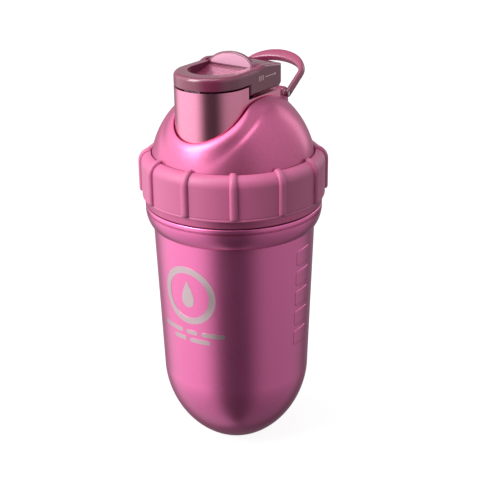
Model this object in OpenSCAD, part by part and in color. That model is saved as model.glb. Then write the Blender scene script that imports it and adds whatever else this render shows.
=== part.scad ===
// Protein shaker bottle: capsule cup in a tapered shell, screw-on domed lid with a grip ring,
// a drinking spout under a flip cap with a thumb slide, and a carry loop on the lid's rear.
// The spout's front faces -Y, the bottle stands on z = 0 and its axis is the Z axis.

/* [Cup] */
// Radius of the recess that holds the foot pad
pad_seat_r = 13; // [12.6:0.1:13.4]
// Outer radius where the round bottom meets the wall
bowl_r = 39.3; // [38.5:0.1:40]
// Outer radius of the wall just under the shoulder
wall_top_r = 42.35; // [42:0.05:42.6]
// Thickness of the outer shell
shell_t = 1.5; // [1.3:0.1:1.8]
// Thickness of the inner cup
cup_t = 1.4; // [1.2:0.1:1.6]

/* [Thread] */
// Rise of the thread in one full turn
thread_lead = 8; // [8:1:8]
// How many ridges start side by side
thread_starts = 2; // [2:1:2]

/* [Lid] */
// Outer radius of the dome at its widest
dome_r = 42.9; // [42.5:0.1:43.2]
// Wall thickness of the dome
dome_t = 2.2; // [2:0.1:2.4]
// Outer radius over the ribs of the grip ring
rib_r = 49.2; // [48.6:0.1:49.6]
// How many ribs the grip ring has
rib_count = 12; // [6:1:18]
// Width of one rib, measured as an angle
rib_angle = 4.4; // [3:0.2:6]

/* [Spout and cap] */
// Half the width of the spout column and of its cap
spout_hw = 18.85; // [18.75:0.05:19]
// Radius of the drinking mouth
mouth_r = 9.5; // [9:0.1:9.6]
// Gap that shows between the cap and the column
cap_gap = 0.8; // [0.6:0.1:1]
// How far the thumb slide travels
slide_travel = 3; // [2.5:0.1:3]

/* [Carry loop] */
// Half the outside width of the loop
loop_hw = 18.9; // [18.5:0.1:19.2]
// Length of the loop from its pin to its far edge
loop_len = 27.4; // [26:0.2:28]
// Lean of the loop above the horizontal, at rest
loop_lean = 34; // [32:1:44]
// Thickness of the loop's strap
loop_t = 4; // [3.4:0.2:4]

/* [Hidden] */
$fn = 96;

// Heights up the bottle
pad_h = 1.5;
shell_foot_z = 0.3;
shell_floor_z = 3;
cup_floor_z = 3.8;
bowl_z = 41.9;
bowl_h = 45.8;
bowl_n = 1.89;
cup_wall_z = 121;
neck_z = 127;
neck_ring_z = 129.6;
shoulder_z = 122.6;
shoulder_r = 46.2;
shell_top = 134.8;
skirt_z = 135.4;
ring_z = 139.2;
rim_z = 155;
dome_z = 152.1;
dome_h = 45.4;
ring_top = 162;
column_z = 166.5;
deck_z = 193.3;
mouth_z = 199.65;
hook_slot_z = 196.4;
cap_front_z = mouth_z + cap_gap;
cap_rear_z = 194.7;
front_top = 207;
deck_top = 209.1;
deck_rear = 206.7;

// Radii of the neck, the collar and the ring
cup_bottom_r = bowl_r - shell_t - 0.9;
cup_wall_r = wall_top_r - shell_t - 0.7;
neck_r = 41.4;
neck_in = 39.4;
collar_r = 46.3;
collar_in = 43.5;
ring_r = 47.6;
rib_turn = 6;
thread_h = 1.5;
cup_thread_z = 140;
lid_thread_z = 142;
thread_root = 2.4;
thread_tip = 1.1;

// The spout's outline: a half circle in front, square behind
front_y = -16.8;
rear_y = 17.1;
mouth_y = -16.8;
mouth_wall = 1.8;
step_y = -10.5;
step_gap = 1.3;
column_gap = 0.4;
flange_w = 1.6;
post_x = 22;
post_r = 2.6;
screw_r = 1.08;
flange_t = 2;
seal_t = 0.8;
seal_top = column_z + flange_t + seal_t + 0.1;

// Hinge of the flip cap, its lug and the slot that the lug turns in
hinge_y = 12.4;
hinge_z = 199.6;
hinge_pin_r = 1.25;
hinge_clear = 0.05;
lug_hw = 6;
lug_r = 3;
slot_top = 203.3;

// Inside of the cap
cap_wall = 1.6;
plate_t = 0.95;
head_h = 0.56;
hook_hw = 4.8;
hook_front = -33;
strip_z = 201.65;
strip_t = 0.8;
pocket_z = 203.4;
pocket_r = 13;
pocket_y = -15;
pocket_end = -1.8;
keel_hw = 4.8;
keel_start = -1;
keel_end = 4.6;
spring_end = 10.6;
spring_z = 204.5;
cap_screw = [15.2, -14];

// Thumb slide: a disc cut off by the cap's deck, and a plate behind it
disc_hw = 14.2;
disc_h = 8.5;
disc_top = 213.2;
disc_t = 2.6;
disc_y = -1.2;
disc_tilt = 8;
track_hw = 15.3;
track_z = 205.6;
plate_end = rear_y - 1.4 - slide_travel;

// Pin of the carry loop
loop_y = 24.4;
loop_z = 188.7;
loop_pin_r = 1.3;
loop_leg = 2.4;
loop_bar = 5.8;
loop_corner = 13.7;
loop_inner_corner = 8.1;
boss_r = 3.2;
washer_t = 0.4;
washer_r = 2;
boss_hw = loop_hw - loop_leg - washer_t - 0.1;

function bowl_at(r, h, n, t) = [r * pow(sin(t), 2 / n), bowl_z - h * pow(cos(t), 2 / n)];
// Angle at which a bowl of this size reaches the height z
function bowl_start(h, n, z) = acos(pow((bowl_z - z) / h, n / 2));
function bowl(r, h, n, z, steps) = let(t0 = bowl_start(h, n, z))
  [for (i = [0:steps]) bowl_at(r, h, n, t0 + (90 - t0) * i / steps)];
function shoulder(inset, steps) = [for (i = [0:steps]) let(u = 1 - i / steps)
  [wall_top_r - inset + (shoulder_r - wall_top_r) * pow(1 - u * u, 0.75),
   shoulder_z + 10.4 * i / steps]];
function dome_at(inset, t) = [(dome_r - inset) * cos(t), dome_z + (dome_h - inset) * sin(t)];
function dome_arc(inset, t0, steps) = [for (i = [0:steps]) dome_at(inset, t0 + (90 - t0) * i / steps)];

// Seen from above: the column's outline grown by g
module spout_outline(g) {
  hw = spout_hw + g;
  translate([0, front_y]) circle(r = hw);
  translate([-hw, front_y]) square([2 * hw, rear_y + g - front_y]);
}

module spout_prism(g, z0, z1) {
  translate([0, 0, z0]) linear_extrude(z1 - z0) spout_outline(g);
}

module bar_x(y, z, r, hw) {
  translate([-hw, y, z]) rotate([0, 90, 0]) cylinder(r = r, h = 2 * hw);
}

// Side view of a shape, pulled across the bottle from -hw to hw
module across(hw, points) {
  rotate([90, 0, 90]) translate([0, 0, -hw]) linear_extrude(2 * hw) polygon(points);
}

// One helical ridge of trapezoid section, from angle a0 over the given sweep
module ridge(r_root, r_tip, z0, a0, sweep) {
  steps = ceil(sweep / 7.5);
  section = [[r_root, -thread_root / 2], [r_tip, -thread_tip / 2], [r_tip, thread_tip / 2],
    [r_root, thread_root / 2]];
  points = [for (i = [0:steps]) let(turned = sweep * i / steps, a = a0 + turned)
    each [for (s = section) [s[0] * cos(a), s[0] * sin(a), z0 + thread_lead * turned / 360 + s[1]]]];
  outward = r_tip > r_root;
  ring = outward ? [3, 2, 1, 0] : [0, 1, 2, 3];
  faces = concat(
    [[ring[0], ring[1], ring[2], ring[3]]],
    [[for (k = [3:-1:0]) 4 * steps + ring[k]]],
    [for (i = [0:steps - 1]) for (k = [0:3]) let(p = ring[k], q = ring[(k + 1) % 4])
      each [[4 * i + p, 4 * i + 4 + p, 4 * i + 4 + q], [4 * i + p, 4 * i + 4 + q, 4 * i + q]]]);
  polyhedron(points, faces);
}

module outer_shell() {
  color([0.78, 0.35, 0.58]) difference() {
    rotate_extrude() polygon(concat(
  [[0, shell_foot_z]], bowl(bowl_r, bowl_h, bowl_n, shell_foot_z, 20), shoulder(0, 10),
      [[shoulder_r, shell_top - 0.4], [shoulder_r - 0.4, shell_top], [neck_r + 0.1, shell_top],
       [neck_r + 0.1, shell_top - shell_t], [shoulder_r - shell_t, shell_top - shell_t]],
      [for (i = [9:-1:0]) shoulder(shell_t, 10)[i]],
      [for (i = [18:-1:0]) bowl(bowl_r - shell_t, bowl_h - shell_t, bowl_n, shell_floor_z, 18)[i]],
      [[0, shell_floor_z]]));
    translate([0, 0, -1]) cylinder(r = pad_seat_r, h = 1 + pad_h);
  }
}

module inner_cup() {
  color([0.93, 0.90, 0.91]) union() {
    rotate_extrude() polygon(concat(
      bowl(cup_bottom_r, bowl_z - cup_floor_z, 2, cup_floor_z, 18),
      [[cup_wall_r, cup_wall_z], [neck_r, neck_z], [neck_r, rim_z - 0.6], [neck_r - 0.6, rim_z],
       [neck_in + 0.6, rim_z], [neck_in, rim_z - 0.6], [neck_in, neck_z],
       [cup_wall_r - cup_t, cup_wall_z]],
      [for (i = [18:-1:0]) bowl(cup_bottom_r - cup_t, bowl_z - cup_floor_z - cup_t, 2,
        cup_floor_z + cup_t, 18)[i]]));
    for (i = [0:thread_starts - 1])
      ridge(neck_r - 0.3, neck_r + thread_h, cup_thread_z, 360 / thread_starts * i, 270);
  }
}

module neck_ring() {
  color([0.80, 0.78, 0.79]) rotate_extrude()
    translate([neck_r + 0.05, neck_ring_z]) square([2.6, 3.6]);
}

module base_pad() {
  color([0.28, 0.12, 0.20]) rotate_extrude() polygon([[0, 0.5], [8, 0.5], [8.4, 0], [pad_seat_r - 0.6, 0],
    [pad_seat_r - 0.1, 0.5], [pad_seat_r - 0.1, pad_h], [0, pad_h]]);
}

module lid_gasket() {
  color([0.95, 0.93, 0.94]) rotate_extrude() polygon([[39.6, rim_z], [41.3, rim_z], [41.9, 155.5],
    [41.9, 156.6], [39.9, 156.6], [39.6, 156.2]]);
}

module lid_dome() {
  color([0.80, 0.42, 0.62]) union() {
    difference() {
      union() {
        difference() {
          rotate_extrude() polygon(concat([[0, 158]], dome_arc(0, 8, 24)));
          // The slope in front of the spout
          across(50, [[-60, 157.6], [-35.3, 175], [-8, 194.2], [-8, 230], [-60, 230]]);
        }
        rotate_extrude() polygon([[41, skirt_z + 0.5], [41, 160.5], [43, 160.5], [45.6, 157.5],
          [collar_r, 156.5], [collar_r, skirt_z + 0.4], [collar_r - 0.4, skirt_z],
          [collar_in, skirt_z]]);
        translate([-boss_hw, loop_y - boss_r, 178]) cube([2 * boss_hw, 2 * boss_r, loop_z - 178]);
        bar_x(loop_y, loop_z, boss_r, boss_hw);
      }
      translate([0, 0, 120]) cylinder(r = collar_in, h = 33);
      rotate_extrude() polygon([[0, 120], [42.1, 120], [42.1, 156.7], [39.2, 156.7], [39.2, 158.4],
        [0, 158.4]]);
      difference() {
        rotate_extrude() polygon(concat([[0, 157], [39.2, 157]], dome_arc(dome_t, 10, 24)));
        spout_prism(column_gap + 2, seal_top, 230);
        translate([-boss_hw, loop_y - 4, 178]) cube([2 * boss_hw, 8, 20]);
        for (s = [-1, 1]) translate([s * post_x, 0, seal_top]) cylinder(r = post_r, h = 40);
      }
      spout_prism(column_gap, 160, 230);
      bar_x(loop_y, loop_z, loop_pin_r, boss_hw + 5);
      for (s = [-1, 1]) translate([s * post_x, 0, 160]) cylinder(r = screw_r, h = 18);
    }
    for (i = [0:thread_starts - 1])
      ridge(collar_in + 0.3, collar_in - thread_h, lid_thread_z, 360 / thread_starts * i, 160);
  }
}

module grip_ring() {
  color([0.86, 0.50, 0.72]) {
    rotate_extrude() polygon([[collar_r + 0.05, ring_z], [ring_r - 0.5, ring_z], [ring_r, ring_z + 0.5],
      [ring_r, 156.4], [46.9, 158.8], [45.4, 160.7], [43.4, 161.8], [42.5, ring_top],
      [42.3, 161.2], [43.2, 160.6], [45.7, 157.7], [collar_r + 0.05, 156.6]]);
    for (i = [0:rib_count - 1]) rotate([0, 0, 360 / rib_count * i + rib_turn - rib_angle / 2])
      rotate_extrude(angle = rib_angle) polygon([[ring_r - 0.6, ring_z + 0.7],
        [rib_r - 0.6, ring_z + 0.7], [rib_r, ring_z + 1.5], [rib_r, 157], [48.4, 159.8],
        [46.6, 162.2], [44.4, 163.4], [42.6, 163.5], [42.6, 161.4], [45, 160], [46.8, 157.6]]);
  }
}

module spout_column() {
  color([0.84, 0.62, 0.72]) difference() {
    union() {
      difference() {
        spout_prism(0, column_z, mouth_z);
        translate([-30, step_y - step_gap, deck_z]) cube([60, 60, 20]);
      }
      translate([0, mouth_y, deck_z - 1]) cylinder(r = mouth_r + mouth_wall, h = mouth_z - deck_z + 1);
      spout_prism(flange_w, column_z, column_z + flange_t);
      for (s = [-1, 1]) translate([s * post_x, 0, column_z])
        cylinder(r = post_r + 0.2, h = flange_t);
      translate([-lug_hw, hinge_y - lug_r, deck_z - 1])
        cube([2 * lug_hw, 2 * lug_r, hinge_z - deck_z + 1]);
      bar_x(hinge_y, hinge_z, lug_r, lug_hw);
    }
    translate([0, mouth_y, column_z - 1]) cylinder(r = mouth_r, h = 40);
    // Room for the hook's leg, and the hollow behind the passage
    translate([-hook_hw - 0.5, hook_front - 0.7, hook_slot_z])
      cube([2 * hook_hw + 1, slide_travel + 2.2, 10]);
    translate([-9.5, -3, column_z - 1]) cube([19, 17, deck_z - column_z - 1.5]);
    bar_x(hinge_y, hinge_z, hinge_pin_r + hinge_clear, lug_hw + 1);
    for (s = [-1, 1]) translate([s * post_x, 0, column_z - 1]) cylinder(r = 1.2, h = 14);
  }
}

module spout_seal() {
  color([0.93, 0.91, 0.92]) translate([0, 0, column_z + flange_t + 0.03]) linear_extrude(seal_t)
    difference() {
    spout_outline(flange_w - 0.1);
    spout_outline(0.05);
    for (s = [-1, 1]) translate([s * post_x, 0]) circle(r = post_r + 0.1);
  }
}

// Pan-head screw that points up, with a hexagon socket
module screw(x, y, z, r, head_r, head_h, length) {
  translate([x, y, z]) cylinder(r = r, h = length, $fn = 48);
  translate([x, y, z - head_h]) difference() {
    cylinder(r = head_r, h = head_h, $fn = 48);
    translate([0, 0, -0.5]) cylinder(r = head_r / 2, h = head_h, $fn = 6);
  }
}

module spout_screws() {
  color([0.75, 0.75, 0.77]) for (s = [-1, 1]) screw(s * post_x, 0, column_z, screw_r, 2.1, 1.2, 10);
}

module flip_cap() {
  color([0.52, 0.20, 0.34]) difference() {
    union() {
      spout_prism(0, cap_front_z, front_top);
      intersection() {
        spout_prism(0, cap_rear_z, deck_top + 1);
        across(spout_hw + 1, [[step_y, cap_rear_z], [rear_y - 1.5, cap_rear_z],
          [rear_y, cap_rear_z + 1.5], [rear_y, deck_rear - 0.4], [rear_y - 0.6, deck_rear],
          [-1.4, deck_top], [-5.5, front_top], [step_y, front_top]]);
      }
    }
    // The thumb pocket, with a floor that rises to the slide
    intersection() {
      union() {
        translate([0, pocket_y, 201]) cylinder(r = pocket_r, h = 20);
        translate([-pocket_r, pocket_y, 201]) cube([2 * pocket_r, pocket_end - pocket_y, 20]);
      }
      across(20, [[-30, pocket_z], [-10, pocket_z], [pocket_end, track_z], [pocket_end, 220], [-30, 220]]);
    }
    // Track of the slide, and the slots for its keel and its spring
    translate([-track_hw, pocket_end - 0.1, track_z])
      cube([2 * track_hw, rear_y - pocket_end - 0.8, 10]);
    translate([-keel_hw - 0.4, hook_front - 0.4, strip_z - 0.3])
      cube([2 * keel_hw + 0.8, keel_start - hook_front, 1.3]);
    translate([-keel_hw - 0.4, keel_start - 0.5, strip_z - 0.3])
      cube([2 * keel_hw + 0.8, keel_end - keel_start + slide_travel + 0.9, track_z + 0.5 - strip_z]);
    translate([-keel_hw - 0.4, hook_front - 0.4, cap_front_z - 1])
      cube([2 * keel_hw + 0.8, slide_travel + 2, 3]);
    translate([-1.6, 2, slot_top]) cube([3.2, spring_end - 2, 3]);
    // Seat of the base plate
    intersection() {
      spout_prism(-cap_wall, cap_front_z - 1, cap_front_z + plate_t + 0.04);
      translate([-30, -60, 190]) cube([60, 60 + step_y - 1.2, 30]);
    }
    // Room for the mouth's wall, the slot that the hinge lug turns in, and the bore of the pin
    translate([0, mouth_y, cap_rear_z - 1])
      cylinder(r = mouth_r + mouth_wall + step_gap, h = cap_front_z - cap_rear_z + 1);
    translate([-lug_hw - 0.4, hinge_y - lug_r - 0.4, cap_rear_z - 1])
      cube([2 * lug_hw + 0.8, 10, slot_top - cap_rear_z + 1]);
    bar_x(hinge_y, hinge_z, hinge_pin_r, 12);
    for (s = [-1, 1]) translate([s * cap_screw[0], cap_screw[1], 198]) cylinder(r = 0.9, h = 6.6);
  }
}

module cap_base() {
  color([0.46, 0.17, 0.30]) difference() {
    intersection() {
      spout_prism(-cap_wall - 0.05, cap_front_z, cap_front_z + plate_t);
      translate([-30, -60, 190]) cube([60, 60 + step_y - 1.3, 30]);
    }
    translate([-hook_hw - 0.4, hook_front - 1.5, 198])
      cube([2 * hook_hw + 0.8, slide_travel + 3, 5]);
    for (s = [-1, 1]) translate([s * cap_screw[0], cap_screw[1], 198]) {
      cylinder(r = 0.95, h = 5);
      cylinder(r = 1.65, h = cap_front_z + head_h + 0.06 - 198);
    }
  }
}

module cap_screws() {
  color([0.75, 0.75, 0.77]) for (s = [-1, 1])
    screw(s * cap_screw[0], cap_screw[1], cap_front_z + head_h + 0.04, 0.88, 1.55, head_h, 3.4);
}

module cap_plug() {
  color([0.93, 0.91, 0.92]) translate([0, mouth_y, 0]) rotate_extrude() polygon([[0, mouth_z - 2.2],
    [7.8, mouth_z - 2.2], [8.4, mouth_z - 1.6], [8.4, mouth_z - 1.2], [9, mouth_z - 0.8],
    [9, mouth_z - 0.3], [8.4, mouth_z], [8.4, cap_front_z], [0, cap_front_z]]);
}

module cap_hinge_pin() {
  color([0.78, 0.78, 0.80]) bar_x(hinge_y, hinge_z, hinge_pin_r, 11.9);
}

module thumb_slide() {
  color([0.90, 0.62, 0.78]) union() {
    // Disc that the thumb pushes
    intersection() {
      translate([0, disc_y, track_z]) rotate([90 - disc_tilt, 0, 0])
        translate([0, 0, -disc_t]) linear_extrude(disc_t)
          polygon(oval(disc_hw, disc_h, disc_top - track_z - disc_h, 40));
      translate([-15, -20, track_z + 0.1]) cube([30, 40, 20]);
    }
    // Plate in the track, and the keel that carries the hook
    across(15, [[keel_start, track_z + 0.1], [plate_end, track_z + 0.1], [plate_end, 207.3],
      [0.4, 209.1]]);
    translate([-keel_hw, keel_start, strip_z + strip_t + 0.02])
      cube([2 * keel_hw, keel_end - keel_start, track_z + 0.2 - strip_z - strip_t]);
  }
}

module latch_hook() {
  color([0.62, 0.60, 0.62]) union() {
    translate([-hook_hw, hook_front, strip_z]) cube([2 * hook_hw, keel_end - hook_front, strip_t]);
    translate([-hook_hw, hook_front, hook_slot_z + 1])
      cube([2 * hook_hw, 1.1, strip_z + 0.1 - hook_slot_z - 1]);
  }
}

// Round wire wound round the Y axis, from y0 to y1, touching the plane at each end
module coil_y(x, y0, y1, z, coil_r, wire_r, turns) {
  steps = turns * 16;
  sides = 6;
  inner = y1 - y0 - 2 * wire_r;
  rings = [for (i = [0:steps]) let(a = 360 * turns * i / steps)
    each [for (k = [0:sides - 1]) let(b = 360 * k / sides, r = coil_r + wire_r * cos(b))
      [x + r * cos(a), y0 + wire_r + inner * i / steps + wire_r * sin(b), z + r * sin(a)]]];
  faces = concat(
    [[for (k = [0:sides - 1]) k]],
    [[for (k = [sides - 1:-1:0]) sides * steps + k]],
    [for (i = [0:steps - 1]) for (k = [0:sides - 1]) let(q = (k + 1) % sides, m = sides * i)
      each [[m + k, m + sides + k, m + sides + q], [m + k, m + sides + q, m + q]]]);
  polyhedron(rings, faces);
}

module latch_spring() {
  color([0.75, 0.75, 0.77]) coil_y(0, keel_end + 0.05, spring_end - 0.05, spring_z, 0.8, 0.2, 6);
}

// Half of an oval, from the right to the left
function oval(rx, ry, s, steps) = [for (i = [0:steps]) [rx * cos(180 * i / steps),
  s + ry * sin(180 * i / steps)]];

module carry_loop() {
  inner_hw = loop_hw - loop_leg;
  color([0.66, 0.27, 0.46]) translate([0, loop_y, loop_z]) rotate([loop_lean, 0, 0]) difference() {
    union() {
      translate([0, 0, -loop_t / 2]) linear_extrude(loop_t) difference() {
        polygon(concat(oval(loop_hw, loop_corner, loop_len - loop_corner, 32),
          [[-loop_hw, 0], [loop_hw, 0]]));
        polygon(concat(oval(inner_hw, loop_inner_corner, loop_len - loop_bar - loop_inner_corner, 32),
          [[-inner_hw, -1], [inner_hw, -1]]));
      }
      for (s = [-1, 1]) translate([s * (loop_hw - loop_leg / 2) - loop_leg / 2, 0, 0])
        rotate([0, 90, 0]) cylinder(r = loop_t / 2, h = loop_leg);
    }
    bar_x(0, 0, loop_pin_r + hinge_clear, loop_hw + 1);
  }
}

module loop_washers() {
  color([0.85, 0.84, 0.85]) for (s = [-1, 1])
    translate([s * (boss_hw + 0.02 + washer_t / 2) - washer_t / 2, loop_y, loop_z])
      rotate([0, 90, 0]) difference() {
        cylinder(r = washer_r, h = washer_t);
        translate([0, 0, -1]) cylinder(r = loop_pin_r + 0.02, h = 3);
      }
}

module loop_pin() {
  color([0.78, 0.78, 0.80]) bar_x(loop_y, loop_z, loop_pin_r, loop_hw - 0.4);
}

outer_shell();
inner_cup();
neck_ring();
base_pad();
lid_gasket();
lid_dome();
grip_ring();
spout_column();
spout_seal();
spout_screws();
flip_cap();
cap_base();
cap_screws();
cap_plug();
cap_hinge_pin();
thumb_slide();
latch_hook();
latch_spring();
carry_loop();
loop_washers();
loop_pin();
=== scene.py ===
from math import acos, asin, cos, exp, hypot, pi, radians, sin, sqrt

import bmesh
import bpy
from mathutils import Matrix, Vector


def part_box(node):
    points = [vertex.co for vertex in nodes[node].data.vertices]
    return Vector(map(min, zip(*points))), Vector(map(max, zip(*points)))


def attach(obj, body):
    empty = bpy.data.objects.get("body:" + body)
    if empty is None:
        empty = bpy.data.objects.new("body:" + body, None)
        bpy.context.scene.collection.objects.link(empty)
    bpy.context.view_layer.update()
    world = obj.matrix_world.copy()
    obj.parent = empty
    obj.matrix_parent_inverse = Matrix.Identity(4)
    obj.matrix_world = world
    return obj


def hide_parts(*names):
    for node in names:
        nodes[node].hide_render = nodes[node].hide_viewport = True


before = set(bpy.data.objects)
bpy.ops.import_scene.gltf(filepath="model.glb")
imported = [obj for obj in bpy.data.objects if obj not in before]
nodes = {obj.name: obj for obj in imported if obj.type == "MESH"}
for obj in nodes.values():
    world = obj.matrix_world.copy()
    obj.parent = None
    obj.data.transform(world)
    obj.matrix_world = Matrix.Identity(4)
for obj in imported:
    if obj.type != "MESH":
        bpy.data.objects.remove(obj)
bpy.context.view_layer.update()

# Looks of a protein shaker bottle. Lengths are in millimetres until a mesh is made.
mm = 0.001
print("frame loaded:", len(nodes), "parts")


def boxOf(node):
    low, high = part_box(node)
    return low / mm, high / mm


def axisOf(pin):
    # height and depth of a pin that runs across the bottle
    low, high = boxOf(pin)
    return ((low + high) / 2).yz


def linked(name, data):
    made = bpy.data.objects.new(name, data)
    bpy.context.scene.collection.objects.link(made)
    return made


shellLow, shellHigh = boxOf("outer_shell")
domeLow = boxOf("lid_dome")[0]
gripLow = boxOf("grip_ring")[0]
columnLow = boxOf("spout_column")[0]
slideHigh = boxOf("thumb_slide")[1]
loopAxis, hingeAxis = axisOf("loop_pin"), axisOf("cap_hinge_pin")

# Camera and studio

studio = {
    "azimuth": 36.0,
    "elevation": 21.94,
    "distance": 612.5,
    "aimHeight": 111.27,
    "aimAside": 2.92,
    "lens": 86.25,
    "roll": -0.79,
    "floorTone": 0.90,
    "floorHalf": 6000.0,
}


def directionOf(azimuth, elevation):
    # azimuth 0 is in front of the spout, 90 on its right
    a, e = radians(azimuth), radians(elevation)
    return Vector((sin(a) * cos(e), -cos(a) * cos(e), sin(e)))


def makeCamera():
    data = bpy.data.cameras.new("camera")
    data.lens = studio["lens"]
    data.sensor_width = 36
    data.clip_start, data.clip_end = 0.02, 30
    camera = linked("camera", data)
    a = radians(studio["azimuth"])
    back = directionOf(studio["azimuth"], studio["elevation"])
    aim = Vector((cos(a), sin(a), 0)) * studio["aimAside"] + Vector((0, 0, studio["aimHeight"]))
    camera.location = (aim + back * studio["distance"]) * mm
    camera.rotation_mode = "QUATERNION"
    turn = (-back).to_track_quat("-Z", "Y").to_matrix()
    camera.rotation_quaternion = (turn @ Matrix.Rotation(radians(studio["roll"]), 3, "Z")).to_quaternion()
    bpy.context.scene.camera = camera


makeCamera()
print("camera placed")

# Mesh tools


def meshOf(name, points, faces):
    mesh = bpy.data.meshes.new(name)
    mesh.from_pydata([Vector(p) * mm for p in points], [], faces)
    return mesh


def addPiece(name, points, faces, body, slot, material, stands=(), smooth=40):
    finishPiece(linked(name, meshOf(name, points, faces)), body, material, stands, smooth)


def finishPiece(piece, body, material, stands=(), smooth=40):
    tidyMesh(piece.data, smooth)
    piece.data.materials.clear()
    piece.data.materials.append(material)
    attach(piece, body)
    if stands:
        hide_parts(*stands)


def joined(mesh, reach, cleaned=False):
    # one skin with its faces outward, with points closer than reach made one
    work = bmesh.new()
    work.from_mesh(mesh)
    bmesh.ops.remove_doubles(work, verts=work.verts, dist=reach * mm)
    if cleaned:
        bmesh.ops.dissolve_degenerate(work, edges=work.edges, dist=0.001 * mm)
    bmesh.ops.recalc_face_normals(work, faces=work.faces)
    work.to_mesh(mesh)
    work.free()


def tidyMesh(mesh, smooth):
    joined(mesh, 0.002, True)
    mesh.shade_smooth()
    mesh.set_sharp_from_angle(angle=radians(smooth))


def gridFaces(rows, columns, closedRows=True, closedColumns=True):
    # quads of a grid of points, stored row after row
    faces = []
    for i in range(rows if closedRows else rows - 1):
        for j in range(columns if closedColumns else columns - 1):
            k, n = (i + 1) % rows, (j + 1) % columns
            faces.append((i * columns + j, i * columns + n, k * columns + n, k * columns + j))
    return faces


def stacked(rows, count):
    # the faces of a stack of closed outlines, with both ends shut
    ends = [tuple(range(count - 1, -1, -1)), tuple(range((rows - 1) * count, rows * count))]
    return gridFaces(rows, count, closedRows=False) + ends


def lathe(profile, turns):
    # a closed profile of (radius, height), turned about the bottle's axis
    points = []
    for i in range(turns):
        a = 2 * pi * i / turns
        points += [(r * sin(a), -r * cos(a), z) for r, z in profile]
    return points, gridFaces(turns, len(profile))


def roundedCorners(corners, closed=True, steps=5):
    # corners are (x, y, radius); each corner with a radius becomes an arc
    made, count = [], len(corners)
    for i, (x, y, radius) in enumerate(corners):
        if radius <= 0 or (not closed and i in (0, count - 1)):
            made.append((x, y))
            continue
        here = Vector((x, y))
        before = Vector(corners[i - 1][:2]) - here
        after = Vector(corners[(i + 1) % count][:2]) - here
        half = before.angle(after) / 2
        steep = max(1e-6, abs(sin(half) / cos(half)))
        reach = min(radius / steep, before.length * 0.49, after.length * 0.49)
        start, end = here + before.normalized() * reach, here + after.normalized() * reach
        for k in range(steps + 1):
            t = k / steps
            made.append(tuple(start * (1 - t) ** 2 + here * 2 * t * (1 - t) + end * t * t))
    return made


def arc(cx, cy, radius, start, end, steps):
    # points on a circle, angles in degrees from +X
    return [(cx + radius * cos(radians(start + (end - start) * i / steps)),
             cy + radius * sin(radians(start + (end - start) * i / steps))) for i in range(steps + 1)]


def quarter(radius, steps=5):
    # a rounded edge: how far each of its points is drawn in from either side
    turns = [pi / 2 * i / steps for i in range(steps + 1)]
    return [(radius * (1 - sin(t)), radius * (1 - cos(t))) for t in turns]


def slab(outline, bottom, top, topRound=0, bottomRound=0, steps=5):
    # outline(grow) gives the shape seen from above; the edges are rounded over
    lower = quarter(bottomRound, steps) if bottomRound else [(0, 0)]
    upper = quarter(topRound, steps) if topRound else [(0, 0)]
    rings = [(-inward, bottom + rise) for inward, rise in lower]
    rings += [(-inward, top - drop) for drop, inward in upper]
    points = []
    for grow, z in rings:
        points += [(x, y, z) for x, y in outline(grow)]
    return points, stacked(len(rings), len(outline(0)))


def drawn(name, points, faces):
    mesh = meshOf(name, points, faces)
    joined(mesh, 0.001)
    return linked(name, mesh)


def prismX(section, halfWidth):
    # a (y, z) outline pulled across the bottle
    points = [(x, y, z) for x in (-halfWidth, halfWidth) for y, z in section]
    return points, stacked(2, len(section))


def drum(x, y, z, radius, height, sides=96):
    ring = arc(x, y, radius, 0, 360 - 360 / sides, sides - 1)
    return [(a, b, h) for h in (z, z + height) for a, b in ring], stacked(2, sides)


def settle(piece):
    graph = bpy.context.evaluated_depsgraph_get()
    mesh = bpy.data.meshes.new_from_object(piece.evaluated_get(graph))
    piece.modifiers.clear()
    piece.data = mesh


def join(name, shape):
    return "UNION", drawn(name, *shape)


def cut(name, shape):
    return "DIFFERENCE", drawn(name, *shape)


def shaped(piece, tools):
    # works on the piece with each tool in turn, as join and cut give them
    for operation, tool in tools:
        change = piece.modifiers.new("shape", "BOOLEAN")
        change.operation = operation
        change.solver = "EXACT"
        change.object = tool
        settle(piece)
        bpy.data.objects.remove(tool)


def eased(piece, width, angle=35):
    edge = piece.modifiers.new("edge", "BEVEL")
    edge.width = width * mm
    edge.segments = 3
    edge.limit_method = "ANGLE"
    edge.angle_limit = radians(angle)
    edge.miter_outer = "MITER_ARC"
    edge.use_clamp_overlap = True
    settle(piece)


def flatShine(piece):
    # keeps flat faces flat beside their rounded edges
    even = piece.modifiers.new("even", "WEIGHTED_NORMAL")
    even.keep_sharp = True
    even.weight = 80


# Node tools


def feed(tree, socket, value):
    # a plain value is set on the socket, anything else is linked to it
    if isinstance(value, (int, float, tuple)):
        socket.default_value = value
    else:
        tree.links.new(value, socket)


def addNode(tree, kind, inputs, **settings):
    node = tree.nodes.new("ShaderNode" + kind)
    for label, value in settings.items():
        setattr(node, label, value)
    for label, value in inputs.items():
        feed(tree, node.inputs[label], value)
    return node


def freshTree(owner):
    owner.use_nodes = True
    owner.node_tree.nodes.clear()
    return owner.node_tree


def mathNode(tree, operation, first, second):
    return addNode(tree, "Math", {0: first, 1: second}, operation=operation).outputs[0]


def times(tree, first, second):
    return mathNode(tree, "MULTIPLY", first, second)


def less(tree, first, second):
    return mathNode(tree, "SUBTRACT", first, second)


def mixColour(tree, factor, first, second, blend="MIX"):
    parts = {0: factor, 6: first, 7: second}
    return addNode(tree, "Mix", parts, data_type="RGBA", blend_type=blend).outputs[2]


def deepened(tree, colour, tint):
    return mixColour(tree, 1.0, colour, (*tint, 1), "MULTIPLY")


def noiseNode(tree, place, scale, detail, roughness=0.5):
    made = {"Vector": place, "Scale": scale, "Detail": detail, "Roughness": roughness}
    return addNode(tree, "TexNoise", made).outputs["Fac"]


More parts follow.
